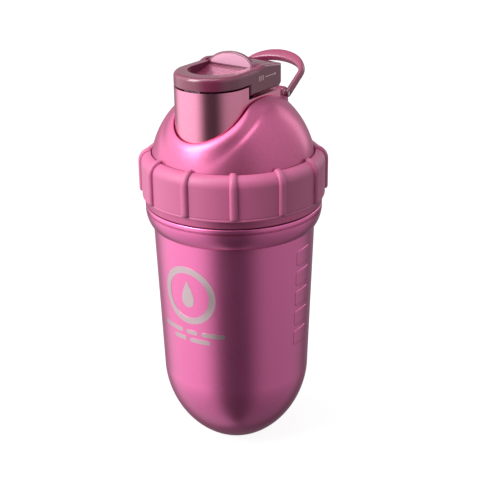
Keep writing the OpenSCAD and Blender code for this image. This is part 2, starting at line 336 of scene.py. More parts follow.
# Shader groups: each takes named inputs and gives named outputs, and works in the piece's own space

colourSocket, numberSocket = "NodeSocketColor", "NodeSocketFloat"


def newGroup(name, colour, inputs, outputs):
    # a group takes one colour and further inputs; it gives one colour, then numbers
    group = bpy.data.node_groups.new(name, "ShaderNodeTree")
    for label, value in [("Colour", (*colour, 1))] + inputs:
        kind = colourSocket if isinstance(value, tuple) else numberSocket
        group.interface.new_socket(label, in_out="INPUT", socket_type=kind).default_value = value
    for label in ["Colour"] + outputs:
        kind = colourSocket if label == "Colour" else numberSocket
        group.interface.new_socket(label, in_out="OUTPUT", socket_type=kind)
    given = group.nodes.new("NodeGroupInput").outputs
    result = group.nodes.new("NodeGroupOutput").inputs
    return group, given, result, addNode(group, "TexCoord", {}).outputs["Object"]


def makePearlGroup():
    # metallic flake under lacquer: each flake is a little lighter or deeper than its neighbours
    group, given, result, place = newGroup("pearlFlake", (0.8, 0.3, 0.5), [
        ("Light flake", (1, 0.6, 0.8, 1)), ("Flake scale", 2600.0), ("Flake amount", 0.3),
        ("Cloud amount", 0.15)], ["Height", "Roughness shift"])
    flake = addNode(group, "TexVoronoi", {"Vector": place, "Scale": given["Flake scale"]})
    tone = addNode(group, "SeparateColor", {0: flake.outputs["Color"]}).outputs
    lit = times(group, mathNode(group, "POWER", tone[0], 3.0), given["Flake amount"])
    cloud = noiseNode(group, place, 38.0, 2)
    cloudy = times(group, less(group, cloud, 0.35), given["Cloud amount"])
    flecked = mixColour(group, lit, given["Colour"], given["Light flake"])
    deep = deepened(group, given["Colour"], (0.72, 0.66, 0.72))
    feed(group, result["Colour"], mixColour(group, cloudy, flecked, deep))
    feed(group, result["Height"], mathNode(group, "ADD", tone[1], times(group, cloud, 0.4)))
    feed(group, result["Roughness shift"], times(group, less(group, tone[2], 0.5), 0.03))
    return group


def makeMouldGroup():
    # fine moulded texture with faint flow clouds
    group, given, result, place = newGroup("mouldedGrain", (0.8, 0.4, 0.6), [
        ("Grain scale", 1800.0), ("Tone change", 0.12)], ["Height", "Mask"])
    fine = noiseNode(group, place, given["Grain scale"], 4, 0.6)
    flow = noiseNode(group, place, 55.0, 3, 0.55)
    tone = times(group, mathNode(group, "ADD", times(group, fine, 0.4), flow), given["Tone change"])
    deep = deepened(group, given["Colour"], (0.62, 0.55, 0.60))
    feed(group, result["Colour"], mixColour(group, tone, given["Colour"], deep))
    feed(group, result["Height"], fine)
    feed(group, result["Mask"], flow)
    return group


def makeHandlingGroup():
    # finger smears and faint rub marks: changes of roughness, and a little pale dust
    group, given, result, place = newGroup("handling", (0.5, 0.5, 0.5), [
        ("Roughness", 0.3), ("Smear", 0.12), ("Dust", 0.03)], ["Roughness"])
    smear = noiseNode(group, place, 90.0, 5, 0.65)
    patch = noiseNode(group, place, 22.0, 2)
    wiped = times(group, times(group, smear, patch), given["Smear"])
    feed(group, result["Roughness"], mathNode(group, "ADD", given["Roughness"], wiped))
    speck = noiseNode(group, place, 900.0, 2, 0.7)
    dusty = times(group, mathNode(group, "POWER", speck, 4.0), given["Dust"])
    feed(group, result["Colour"], mixColour(group, dusty, given["Colour"], (0.9, 0.86, 0.88, 1)))
    return group


def makeBrushedGroup():
    # hairlines along one axis of the piece
    group, given, result, place = newGroup("hairlines", (0.7, 0.7, 0.72), [
        ("Across scale", 1500.0), ("Along scale", 60.0), ("Depth", 0.3)], ["Height", "Roughness shift"])
    parts = addNode(group, "SeparateXYZ", {0: place}).outputs
    scales = [given["Along scale"], given["Across scale"], given["Across scale"]]
    drawnOut = addNode(group, "CombineXYZ", {i: times(group, parts[i], scales[i]) for i in range(3)})
    line = noiseNode(group, drawnOut.outputs[0], 1.0, 4, 0.6)
    dark = deepened(group, given["Colour"], (0.6, 0.6, 0.6))
    worn = times(group, line, given["Depth"])
    feed(group, result["Colour"], mixColour(group, worn, given["Colour"], dark))
    feed(group, result["Height"], line)
    feed(group, result["Roughness shift"], times(group, less(group, line, 0.5), 0.3))
    return group


pearlGroup, mouldGroup = makePearlGroup(), makeMouldGroup()
handlingGroup, brushedGroup = makeHandlingGroup(), makeBrushedGroup()

# Materials


def useGroup(tree, group, inputs):
    return addNode(tree, "Group", inputs, node_tree=group).outputs


def coated(name, pattern, roughness, smear, dust, bump, settings):
    # pattern is (group, its inputs); bump is (strength, depth in millimetres)
    material = bpy.data.materials.new(name)
    tree = freshTree(material)
    look = useGroup(tree, *pattern)
    hand = useGroup(tree, handlingGroup, {"Colour": look["Colour"], "Roughness": roughness, "Smear": smear,
                                          "Dust": dust})
    rough = hand["Roughness"]
    if "Roughness shift" in look:
        rough = mathNode(tree, "ADD", rough, look["Roughness shift"])
    strength, depth = bump
    relief = addNode(tree, "Bump", {"Strength": strength, "Distance": depth * mm, "Height": look["Height"]})
    surface = {"Base Color": hand["Colour"], "Roughness": rough, "Normal": relief.outputs[0], **settings}
    shader = addNode(tree, "BsdfPrincipled", surface)
    addNode(tree, "OutputMaterial", {0: shader.outputs[0]})
    return material


def pearlPaint(name, colour, flake, metallic, roughness, coat, scale=3400, amount=0.10, cloud=0.10):
    pattern = {"Colour": (*colour, 1), "Light flake": (*flake, 1), "Flake scale": scale,
               "Flake amount": amount, "Cloud amount": cloud}
    return coated(name, (pearlGroup, pattern), roughness, 0.10, 0.04, (0.05, 0.003), {
        "Metallic": metallic, "Coat Weight": coat, "Coat Roughness": 0.12})


def mouldedPlastic(name, colour, roughness, grain=1800, depth=0.05, tone=0.15, coat=0.0, sheen=0.0,
                   dust=0.04, subsurface=0.0):
    pattern = {"Colour": (*colour, 1), "Grain scale": grain, "Tone change": tone}
    return coated(name, (mouldGroup, pattern), roughness, 0.12, dust, (0.12, depth), {
        "Coat Weight": coat, "Coat Roughness": 0.08, "Sheen Weight": sheen, "Sheen Roughness": 0.4,
        "Subsurface Weight": subsurface, "Subsurface Radius": (0.004, 0.002, 0.003)})


def brushedMetal(name, colour, roughness, across=1500, along=60, depth=0.35, bump=0.01):
    pattern = {"Colour": (*colour, 1), "Across scale": across, "Along scale": along, "Depth": depth}
    return coated(name, (brushedGroup, pattern), roughness, 0.12, 0.03, (0.3, bump), {"Metallic": 1.0})


shellPearl = pearlPaint("shellPearl", (0.82, 0.18, 0.43), (1.0, 0.45, 0.72), 0.90, 0.27, 0.25,
                        scale=5200, amount=0.03, cloud=0.06)
domePearl = pearlPaint("domePearl", (0.52, 0.105, 0.24), (0.98, 0.42, 0.68), 0.72, 0.33, 0.10)
spoutPearl = pearlPaint("spoutPearl", (0.80, 0.27, 0.42), (1.0, 0.75, 0.85), 0.97, 0.23, 0.15)
gripSoft = mouldedPlastic("gripSoft", (0.46, 0.095, 0.22), 0.46, 2200, 0.03, 0.16, sheen=0.15, dust=0.06)
capMaroon = mouldedPlastic("capMaroon", (0.17, 0.022, 0.062), 0.24, 1500, 0.012, 0.18, coat=0.5)
rampMaroon = mouldedPlastic("rampMaroon", (0.15, 0.018, 0.055), 0.30, 1500, 0.012, 0.15, coat=0.5)
plateMaroon = mouldedPlastic("plateMaroon", (0.15, 0.03, 0.07), 0.42, 1800, 0.03, 0.18)
loopMaroon = mouldedPlastic("loopMaroon", (0.27, 0.035, 0.10), 0.26, 1500, 0.012, 0.18, coat=0.45)
cupWhite = mouldedPlastic("cupWhite", (0.82, 0.78, 0.79), 0.32, 1500, 0.02, 0.08, subsurface=0.15)
silicone = mouldedPlastic("silicone", (0.84, 0.80, 0.81), 0.46, 1600, 0.03, 0.08, subsurface=0.3)
padRubber = mouldedPlastic("padRubber", (0.06, 0.022, 0.036), 0.62, 1300, 0.08, 0.2, dust=0.12)
nylon = mouldedPlastic("nylon", (0.74, 0.72, 0.73), 0.40, 1600, 0.02, 0.1)
slideFace = brushedMetal("slideFace", (0.47, 0.24, 0.33), 0.42, 1300, 150, 0.30, 0.008)
pinSteel = brushedMetal("pinSteel", (0.62, 0.61, 0.62), 0.26, 900, 2600)
screwSteel = brushedMetal("screwSteel", (0.58, 0.58, 0.60), 0.22, 2200, 2200)
springSteel = brushedMetal("springSteel", (0.50, 0.50, 0.53), 0.30, 1500, 90)
foilSilver = brushedMetal("foilSilver", (0.62, 0.47, 0.51), 0.30, 1400, 260, 0.25, 0.006)
markPale = mouldedPlastic("markPale", (0.66, 0.46, 0.52), 0.40, 1800, 0.01, 0.1)
print("materials made")

# Shell

shell = {
    "bowlRadius": 39.3,
    "bowlCentre": 41.9,
    "bowlHeight": 45.8,
    "bowlPower": 1.89,
    "wallTopRadius": 42.35,
    "shoulderHeight": 122.6,
    "shoulderRise": 10.4,
    "thickness": 1.5,
    "neckRadius": 41.45,
    "recessRadius": 13.0,
    "recessEdge": 0.3,
}


def bowlPoints(inset, bottom, steps):
    # the round bottom, a superellipse from its cut at the foot up to the wall
    radius, height = shell["bowlRadius"] - inset, shell["bowlHeight"] - inset
    power, centre = shell["bowlPower"], shell["bowlCentre"]
    start = acos(((centre - bottom) / height) ** (power / 2))
    turns = [start + (pi / 2 - start) * i / steps for i in range(steps + 1)]
    return [(radius * sin(t) ** (2 / power), centre - height * max(0, cos(t)) ** (2 / power)) for t in turns]


def shoulderPoints(inset, steps):
    # the wall swells out to the bead under the lid
    made, swell = [], shellHigh.x - shell["wallTopRadius"]
    for i in range(steps + 1):
        u = 1 - i / steps
        made.append((shell["wallTopRadius"] - inset + swell * (1 - u * u) ** 0.75,
                     shell["shoulderHeight"] + shell["shoulderRise"] * i / steps))
    return made


def wallRadius(z):
    # outside radius of the plain wall
    t = (z - shell["bowlCentre"]) / (shell["shoulderHeight"] - shell["bowlCentre"])
    return shell["bowlRadius"] + (shell["wallTopRadius"] - shell["bowlRadius"]) * t


def makeShell():
    wide, top, t = shellHigh.x, shellHigh.z, shell["thickness"]
    neck, recess, edge = shell["neckRadius"], shell["recessRadius"], shell["recessEdge"]
    bead = roundedCorners([(wide, top - 3, 0), (wide, top, 0.7), (neck, top, 0.4), (neck, top - t, 0.2),
                           (wide - t, top - t, 0.5), (wide - t, top - 3, 0)], closed=False)
    outside = bowlPoints(0, shellLow.z, 56)
    outside += [(wallRadius(z), z) for z in range(46, 122, 4)] + shoulderPoints(0, 28)
    inside = [(wallRadius(z) - t, z) for z in range(118, 44, -12)]
    lowest = shellLow.z + t
    base = [(0.0, lowest + 1.5), (0.0, lowest), (recess - edge, lowest), (recess, lowest - edge),
            (recess, shellLow.z + edge), (recess + edge, shellLow.z)]
    profile = base[1:] + outside + bead + shoulderPoints(t, 10)[::-1] + inside
    profile += bowlPoints(t, lowest + 1.5, 16)[::-1] + base[:1]
    addPiece("shellSkin", *lathe(profile, 216), "cup", "shell_pearl", shellPearl, ["outer_shell"])


makeShell()

# Marks on the shell: a printed emblem with bars under it, and a column of raised tiles

marks = {
    "emblemAngle": 0.0,
    "emblemHeight": 94.5,
    "emblemRadius": 16.0,
    "dropWidth": 5.4,
    "dropHeight": 7.6,
    "strokeWidth": 3.6,
    "printProud": 0.08,
    "barAngle": 0.5,
    "barHeights": (73.6, 69.2),
    "barLengths": ((15.0, 7.0, 13.0), (9.0, 12.0)),
    "barThick": 2.5,
    "barGap": 2.2,
    "tileAngle": 94.0,
    "tileWidth": 13.0,
    "tileTop": 117.0,
    "tileBottom": 60.0,
    "tileCount": 5,
    "tileProud": 0.2,
    "tileCorner": 2.2,
}


def onWall(across, z, proud, middle):
    # across is measured round the wall from the angle named middle
    radius = wallRadius(z)
    a = radians(middle) + across / radius
    return ((radius + proud) * sin(a), -(radius + proud) * cos(a), z)


def closer(outline, gap=1.2):
    # the same closed outline with no two points further apart than gap
    made = []
    for k, p in enumerate(outline):
        q = outline[(k + 1) % len(outline)]
        parts = max(1, round(hypot(q[0] - p[0], q[1] - p[1]) / gap))
        made += [(p[0] + (q[0] - p[0]) * i / parts, p[1] + (q[1] - p[1]) * i / parts) for i in range(parts)]
    return made


def wallPatch(outline, proud, middle, edge=0.0, rings=2):
    # a flat outline laid on the wall, raised by proud, with its rim dropping to the wall
    outline = closer(outline)
    centre = Vector((sum(p[0] for p in outline) / len(outline), sum(p[1] for p in outline) / len(outline)))
    count, points, faces = len(outline), [], []
    steps = [(1.0, -0.3), (1.0, proud - edge)]
    for i in range(1, rings + 1):
        a = pi / 2 * i / rings
        steps.append((-edge * (1 - cos(a)), proud - edge + edge * sin(a)))
    for k, (inset, lift) in enumerate(steps):
        for x, z in outline:
            away = Vector((x, z)) - centre
            if k > 1:
                away = away * (1 + inset / max(0.5, away.length))
            points.append(onWall(centre.x + away.x, centre.y + away.y, lift, middle))
    rows = len(steps)
    faces = gridFaces(rows, count, closedRows=False)
    for level in (0.66, 0.33):
        base = len(points)
        for x, z in outline:
            away = (Vector((x, z)) - centre) * level
            points.append(onWall(centre.x + away.x, centre.y + away.y, proud, middle))
        previous = (rows - 1) * count if level > 0.5 else base - count
        for j in range(count):
            n = (j + 1) % count
            faces.append((previous + j, previous + n, base + n, base + j))
    points.append(onWall(centre.x, centre.y, proud, middle))
    last, base = len(points) - 1, len(points) - 1 - count
    faces += [(base + j, base + (j + 1) % count, last) for j in range(count)]
    return points, faces


def wallBand(inner, outer, proud, middle):
    # a closed stroke between two outlines of as many points
    count, points = len(inner), []
    for outline, lift in ((inner, -0.3), (inner, proud), (outer, proud), (outer, -0.3)):
        points += [onWall(x, z, lift, middle) for x, z in outline]
    return points, gridFaces(4, count, closedRows=False)


def gathered(parts):
    points, faces = [], []
    for somePoints, someFaces in parts:
        start = len(points)
        points += somePoints
        faces += [tuple(start + i for i in face) for face in someFaces]
    return points, faces


def makeEmblem():
    # a plain ring with a drop in it
    m, z = marks, marks["emblemHeight"]
    inner, outer = (arc(0, z, radius, 0, 357, 119)
                    for radius in (m["emblemRadius"] - m["strokeWidth"], m["emblemRadius"]))
    ring = wallBand(inner, outer, m["printProud"], m["emblemAngle"])
    turns = [2 * pi * i / 72 for i in range(72)]
    wide, high = m["dropWidth"], m["dropHeight"]
    drop = [(wide * sin(a) * sin(a / 2) ** 1.4, z + 1.0 + high * cos(a)) for a in turns]
    addPiece("emblemPrint", *gathered([ring, wallPatch(drop, m["printProud"], m["emblemAngle"])]),
             "cup", "shell_pearl", foilSilver)


def makeBars():
    m, parts = marks, []
    for z, lengths in zip(m["barHeights"], m["barLengths"]):
        gap = m["barGap"]
        x = -(sum(lengths) + gap * (len(lengths) - 1)) / 2
        for length in lengths:
            r = m["barThick"] / 2
            outline = arc(x + length - r, z, r, -90, 90, 12) + arc(x + r, z, r, 90, 270, 12)
            parts.append(wallPatch(outline, m["printProud"], m["barAngle"]))
            x += length + gap
    addPiece("barPrint", *gathered(parts), "cup", "shell_pearl", foilSilver)


def makeTiles():
    m, parts = marks, []
    pitch = (m["tileTop"] - m["tileBottom"]) / m["tileCount"]
    for i in range(m["tileCount"]):
        z = m["tileBottom"] + pitch * (i + 0.5)
        high, wide = pitch * 0.39, m["tileWidth"] / 2
        corners = ((-wide, z - high), (wide, z - high), (wide, z + high), (-wide, z + high))
        outline = roundedCorners([(x, h, m["tileCorner"]) for x, h in corners], steps=7)
        parts.append(wallPatch(outline, m["tileProud"], m["tileAngle"], 0.4, 4))
    addPiece("raisedTiles", *gathered(parts), "cup", "shell_pearl", shellPearl)


makeEmblem()
makeBars()
makeTiles()

# Foot: a ring with fine grooves

foot = {"outer": 12.9, "inner": 8.0, "hollow": 0.5, "grooves": 3, "grooveDepth": 0.3, "edge": 0.5}


def makeFoot():
    f = foot
    low, high = boxOf("base_pad")
    ring, deep = f["outer"] - f["inner"] - 1, low.z + f["grooveDepth"]
    profile = [(0.0, high.z), (0.0, low.z + f["hollow"]), (f["inner"], low.z + f["hollow"]),
               (f["inner"] + 0.4, low.z)]
    for i in range(f["grooves"]):
        x = f["inner"] + 0.5 + ring * (i + 0.75) / (f["grooves"] + 0.3)
        profile += [(x - 0.25, low.z), (x - 0.1, deep), (x + 0.1, deep), (x + 0.25, low.z)]
    profile += [(f["outer"] - f["edge"], low.z), (f["outer"] - 0.15, low.z + 0.15),
                (f["outer"], low.z + f["edge"]), (f["outer"], high.z)]
    addPiece("footPad", *lathe(profile, 144), "cup", "pad_rubber", padRubber, ["base_pad"], 30)


makeFoot()
print("shell, marks and foot made")

# Outline of the spout column and the cap, seen from above

spout = {"halfWidth": 18.85, "frontY": -16.8, "rearY": 17.1, "rearCorner": 1.6, "mouthY": -16.8,
         "mouthRadius": 9.5, "mouthWall": 1.8, "stepY": -11.8, "deckTop": 193.3, "towerTop": 199.65,
         "lugRadius": 3.0, "lugHalf": 6.0, "lugBore": 1.3, "edgeRound": 0.4,
         "hookSlot": {"x": -5.3, "y": -33.7, "z": 196.4, "dx": 10.6, "dy": 5.2, "dz": 10}}


def spoutOutline(grow, rearY=None, corner=None):
    # counter-clockwise from the right front: half circle in front, square behind
    wide = spout["halfWidth"] + grow
    rear = (spout["rearY"] if rearY is None else rearY) + grow
    round_ = max(0.05, (spout["rearCorner"] if corner is None else corner) + grow)
    front, back = spout["frontY"], rear - round_
    made = arc(0, front, wide, 180, 360, 56)
    made += [(wide, front + (back - front) * t) for t in (0.2, 0.4, 0.6, 0.8)]
    made += arc(wide - round_, back, round_, 0, 90, 6)
    made += arc(-wide + round_, back, round_, 90, 180, 6)
    made += [(-wide, back + (front - back) * t) for t in (0.2, 0.4, 0.6, 0.8)]
    return made


# Dome: an ellipsoid with a slope in front and a rolled lip round the column

dome = {
    "radius": 42.9,
    "baseHeight": 152.1,
    "rise": 45.4,
    "thickness": 2.2,
    "slopeStart": (-35.3, 174.8),
    "slopeEnd": (-8.0, 194.0),
    "slopeBlend": 1.5,
    "gap": 0.4,
    "rimRound": 0.6,
    "lipHeight": 0.55,
    "lipWidth": 4.4,
    "creaseDistance": 6.3,
    "creaseWidth": 1.7,
    "creaseDepth": 0.9,
    "lipFront": (-16.0, 1.0),
    "skirtRadius": 46.3,
    "skirtInner": 43.5,
    "skirtHeight": 14.0,
    "collar": ((156.5, 0.8), (45.4, 157.7, 0.8), (43.0, 160.2, 0)),
    "skinStart": 160.8,
    "underStart": 6.5,
    "holeWall": 5.5,
    "lidSeat": ((39.67, 158.4), (39.2, 157.0), (39.2, 156.7), (42.1, 156.7), (42.1, 153.0)),
}


def smoothStep(low, high, value):
    t = min(1, max(0, (value - low) / (high - low)))
    return t * t * (3 - 2 * t)


def fromSpout(x, y):
    # distance outside the column's outline
    if y < spout["frontY"]:
        return hypot(x, y - spout["frontY"]) - spout["halfWidth"]
    side, back = abs(x) - spout["halfWidth"], y - spout["rearY"]
    if side > 0 and back > 0:
        return hypot(side, back)
    return max(side, back)


def domeHeight(x, y, inset=0.0):
    d, r = dome, hypot(x, y)
    round_ = d["baseHeight"] + (d["rise"] - inset) * sqrt(max(0, 1 - (r / (d["radius"] - inset)) ** 2))
    (y0, z0), (y1, z1) = d["slopeStart"], d["slopeEnd"]
    slope = z0 + (y - y0) * (z1 - z0) / (y1 - y0) - inset * 1.1
    blend = d["slopeBlend"]
    h = max(0, min(1, 0.5 + 0.5 * (slope - round_) / blend))
    z = slope * (1 - h) + round_ * h - blend * h * (1 - h)
    if inset:
        return z
    away = fromSpout(x, y)
    front = 1 - smoothStep(*d["lipFront"], y)
    z += d["lipHeight"] * (1 - smoothStep(0.5, d["lipWidth"], away)) * front
    crease = ((away - d["creaseDistance"]) / d["creaseWidth"]) ** 2
    if crease < 12:
        z -= d["creaseDepth"] * exp(-crease) * front
    return z


def reachOf(azimuth, grow):
    # how far from the bottle's axis the grown outline is, in this direction
    dx, dy = sin(azimuth), -cos(azimuth)
    wide, rear = spout["halfWidth"] + grow, spout["rearY"] + grow
    along = spout["frontY"] * dy
    reach = along + sqrt(max(0, along * along - spout["frontY"] ** 2 + wide * wide))
    if reach * dy <= spout["frontY"]:
        return reach
    side = wide / max(1e-6, abs(dx))
    if dy <= 0:
        return side
    corner = 16
    return ((1 / side) ** corner + (dy / rear) ** corner) ** (-1 / corner)


def makeDome():
    d = dome
    rows, azimuths = [], [2 * pi * i / 320 for i in range(320)]
    wide, inside, collar = d["skirtRadius"], d["skirtInner"], d["collar"]
    skirt = roundedCorners([(inside, domeLow.z + d["skirtHeight"], 0), (inside, domeLow.z, 0.3),
                            (wide, domeLow.z, 0.5), (wide, *collar[0]), *collar[1:]], closed=False)
    first = asin((d["skinStart"] - d["baseHeight"]) / d["rise"])
    low = asin(d["underStart"] / d["rise"])
    seat = [*d["lidSeat"], (inside, d["lidSeat"][-1][1])]
    for a in azimuths:
        column = list(skirt)
        edge = reachOf(a, d["gap"] + d["rimRound"])
        last = acos(edge / d["radius"])
        for i in range(97):
            t = first + (last - first) * i / 96
            r = d["radius"] * cos(t)
            column.append((r, domeHeight(r * sin(a), -r * cos(a))))
        top = column[-1][1]
        for i in range(1, 6):
            t = pi / 2 * i / 5
            grow = d["gap"] + d["rimRound"] * (1 - sin(t))
            column.append((reachOf(a, grow), top - d["rimRound"] * (1 - cos(t))))
        wall = reachOf(a, d["gap"])
        inner = reachOf(a, d["gap"] + 2.0)
        ledge = top - d["holeWall"]
        column += [(wall, top - 1.6), (wall, ledge), (inner, ledge)]
        under = acos(min(1, inner / (d["radius"] - d["thickness"])))
        for i in range(17):
            t = under + (low - under) * i / 16
            r = (d["radius"] - d["thickness"]) * cos(t)
            z = domeHeight(r * sin(a), -r * cos(a), d["thickness"])
            column.append((r, min(z, ledge) if i == 0 else z))
        column += seat
        rows.append(column)
    count = len(rows[0])
    points = []
    for a, column in zip(azimuths, rows):
        points += [(r * sin(a), -r * cos(a), z) for r, z in column]
    return points, gridFaces(len(azimuths), count)


boss = {"radius": 3.2, "halfWidth": 16.0, "endRound": 0.9, "depth": 9.0}


def makeBoss():
    # bar that holds the loop's pin, rising out of the dome
    b, y0, z0 = boss, loopAxis.x, loopAxis.y
    stations = [(b["halfWidth"] - short, inset) for short, inset in quarter(b["endRound"])]
    spans = sorted([(-x, e) for x, e in stations]) + sorted([(x, e) for x, e in stations])
    points = []
    for x, inset in spans:
        r = b["radius"] - inset
        section = [(y0 - r * 1.25, z0 - b["depth"]), (y0 - r * 1.02, z0 - 3)]
        section += [(y0 - r * cos(radians(a)), z0 + r * sin(radians(a))) for a in range(0, 181, 15)]
        section += [(y0 + r * 1.02, z0 - 3), (y0 + r * 1.25, z0 - b["depth"])]
        points += [(x, y, z) for y, z in section]
    return points, stacked(len(spans), len(section))


addPiece("domeSkin", *gathered([makeDome(), makeBoss()]), "lid", "dome_pearl", domePearl, ["lid_dome"], 50)
print("dome made")

# Grip ring: soft overmould with round-nosed ribs

grip = {
    "ribs": 12,
    "firstRib": 6.0,
    "ribHalfWidth": 1.95,
    "ribProud": 1.6,
    "ringRadius": 47.6,
    "innerRadius": 46.35,
    "topCentre": (42.1, 156.3),
    "topRound": (5.5, 5.7),
    "ribStart": 0.7,
    "seamHeight": 1.5,
    "seamDepth": 0.16,
    "inside": ((42.35, 161.2), (43.2, 160.6), (45.7, 157.7)),
    "insideEnd": 156.6,
}


def makeGrip():
    g = grip
    (cx, cz), (rx, rz) = g["topCentre"], g["topRound"]
    ring, seam, deep = g["ringRadius"], gripLow.z + g["seamHeight"], g["ringRadius"] - g["seamDepth"]
    outer = roundedCorners([(g["innerRadius"], gripLow.z, 0), (ring, gripLow.z, 0.6),
                            (ring, gripLow.z + 2, 0)], closed=False)
    outer += [(ring, seam - 0.25), (deep, seam - 0.12), (deep, seam + 0.12), (ring, seam + 0.25)]
    outer.sort(key=lambda p: (p[1], p[0]))
    outer += [(ring, seam + 0.25 + (cz - seam - 0.25) * i / 24) for i in range(1, 25)]
    outer += [(cx + rx * cos(radians(a)), cz + rz * sin(radians(a))) for a in range(4, 87, 3)]
    inner = [*g["inside"], (g["innerRadius"], g["insideEnd"])]
    # distance along the outside, for the ends of the ribs
    lengths = [0.0]
    for p, q in zip(outer, outer[1:]):
        lengths.append(lengths[-1] + hypot(q[0] - p[0], q[1] - p[1]))
    start = next(s for s, p in zip(lengths, outer) if p[1] >= gripLow.z + g["ribStart"])
    total = lengths[-1]
    turns = []
    half = g["ribHalfWidth"] / g["ringRadius"]
    across = [-1.5, -1.2, -1.06, -1.0, -0.97, -0.9, -0.78, -0.6, -0.4, -0.2]
    across = across + [0.0] + [-u for u in across[::-1]]
    pitch = 2 * pi / g["ribs"]
    for k in range(g["ribs"]):
        middle = radians(g["firstRib"]) + pitch * k
        turns += [(middle + half * u, u) for u in across]
        gap = pitch - 3 * half
        turns += [(middle + 1.5 * half + gap * i / 9, 9.0) for i in range(1, 9)]
    points = []
    for a, u in turns:
        nose = max(0.0, 1 - abs(u) ** 2.4) ** 0.5 if abs(u) < 1 else 0.0
        for i, (r, z) in enumerate(outer):
            s = lengths[i]
            before = outer[max(0, i - 1)]
            after = outer[min(len(outer) - 1, i + 1)]
            run = Vector((after[0] - before[0], after[1] - before[1])).normalized()
            out = Vector((run.y, -run.x))
            if out.x < 0:
                out = -out
            tip = min(1, max(0, (s - start) / 1.5))
            end = min(1, max(0, (total - s) / 0.7))
            mask = sqrt(max(0, 1 - (1 - tip) ** 2)) * (0.8 + 0.2 * end)
            lift = g["ribProud"] * nose * mask
            points.append(((r + out.x * lift) * sin(a), -(r + out.x * lift) * cos(a), z + out.y * lift))
        points += [(r * sin(a), -r * cos(a), z) for r, z in inner]
    addPiece("gripSkin", points, gridFaces(len(turns), len(outer) + len(inner)), "lid", "grip_soft",
             gripSoft, ["grip_ring"], 60)


makeGrip()
print("grip ring made")

# Spout column: a tower with the mouth, and a lower deck with the hinge lug behind it


def makeColumn():
    s, deck = spout, spout["deckTop"]
    piece = drawn("columnSkin", *slab(spoutOutline, columnLow.z, deck))
    lugSection = [(hingeAxis.x + side * s["lugRadius"], deck - 1) for side in (-1, 1)]
    lugSection += arc(*hingeAxis, s["lugRadius"], 0, 180, 20)
    shaped(piece, [
        join("tower", slab(lambda g: spoutOutline(g, s["stepY"], 0.06), deck - 5, s["towerTop"])),
        join("mouthWall", drum(0, s["mouthY"], deck - 3, s["mouthRadius"] + s["mouthWall"],
                               s["towerTop"] - deck + 3)),
        join("lug", prismX(lugSection, s["lugHalf"])),
        cut("mouth", drum(0, s["mouthY"], columnLow.z - 1, s["mouthRadius"], 40)),
        cut("hookSlot", boxAt(**s["hookSlot"])),
        cut("lugBore", rodX(*hingeAxis, s["lugBore"], s["lugHalf"] + 2))])
    eased(piece, s["edgeRound"])
    finishPiece(piece, "lid", spoutPearl, ["spout_column"], 35)
    flatShine(piece)


def boxAt(x, y, z, dx, dy, dz):
    points = [(x + dx * i, y + dy * j, z + dz * k) for k in (0, 1) for j in (0, 1) for i in (0, 1)]
    return points, [(0, 2, 3, 1), (4, 5, 7, 6), (0, 1, 5, 4), (1, 3, 7, 5), (3, 2, 6, 7), (2, 0, 4, 6)]


def rodX(y, z, radius, halfWidth, sides=48):
    return prismX(arc(y, z, radius, 0, 360 - 360 / sides, sides - 1), halfWidth)


makeColumn()
print("spout made")

# Flip cap: low round front with a thumb pocket, taller block behind with a crowned deck

cap = {
    "frontBottom": 200.45,
    "frontTop": 207.0,
    "frontRound": 2.2,
    "rearBottom": 194.7,
    "stepY": -10.5,
    "riseStart": -13.0,
    "riseEnd": 2.5,
    "riseFoot": 204.6,
    "riseTop": 208.5,
    "deckRear": 206.7,
    "crown": 0.6,
    "sideRound": 1.3,
    "edgeRound": 0.32,
    "pocketRadius": 13.0,
    "pocketY": -15.0,
    "pocketFloor": 203.4,
    "rampStart": -10.0,
    "pocketEnd": -1.8,
    "trackHalf": 15.3,
    "trackFloor": 205.6,
    "trackEnd": 16.2,
    "lugSlot": {"x": -6.4, "dx": 12.8, "dy": 10, "dz": 9.6},
    "hookRoom": {"x": -5.2, "y": -33.4, "z": 199.45, "dx": 10.4, "dy": 5, "dz": 3},
    "keelSlot": {"x": -5.2, "y": -33.4, "z": 201.45, "dx": 10.4, "dy": 32, "dz": 1.2},
    "keelWell": {"x": -5.2, "y": -1.5, "z": 201.45, "dx": 10.4, "dy": 9.5, "dz": 4.35},
    "mouthRoom": 12.6,
    "seatInset": 1.6,
    "seatEnd": -10.1,
    "seatDepth": 0.99,
}


def deckTop(y):
    # the top rises from the rim to the slide in one soft curve, then falls to the rear
    c = cap
    if y < c["riseEnd"]:
        return c["riseFoot"] + (c["riseTop"] - c["riseFoot"]) * smoothStep(c["riseStart"], c["riseEnd"], y)
    fall = (y - c["riseEnd"]) / (spout["rearY"] - c["riseEnd"])
    return c["riseTop"] + (c["deckRear"] - c["riseTop"]) * fall


